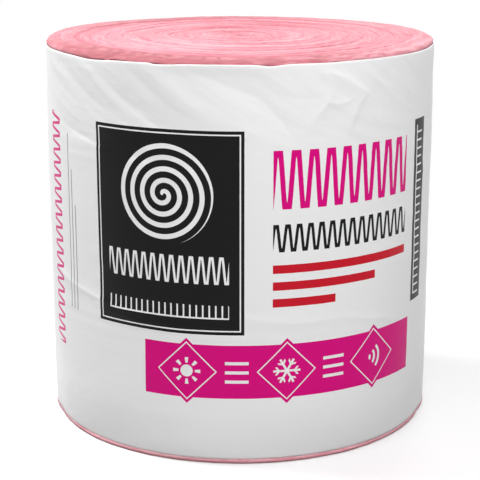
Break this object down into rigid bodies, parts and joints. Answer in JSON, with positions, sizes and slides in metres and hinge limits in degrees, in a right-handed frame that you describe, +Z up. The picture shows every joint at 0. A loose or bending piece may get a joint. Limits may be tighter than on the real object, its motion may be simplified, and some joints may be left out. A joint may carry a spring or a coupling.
{
  "type": "insulation roll",
  "caption": "Roll of unfaced glass-fibre insulation blanket standing on its end in a printed plastic film sleeve, both ends bare.",
  "frame": {"origin": "centre of the roll's foot, on the floor", "axes": "+Z up along the roll's axis, -Y towards the front of the print, +X to the right seen from the front"},
  "size_m": [0.3859, 0.386, 0.381],
  "materials": {
    "glass_wool": "pink glass fibre, matt and fibrous",
    "wrap_film": null
  },
  "bodies": {
    "root": {"blanket": "glass_wool", "film_sleeve": "wrap_film"}
  },
  "joints": []
}
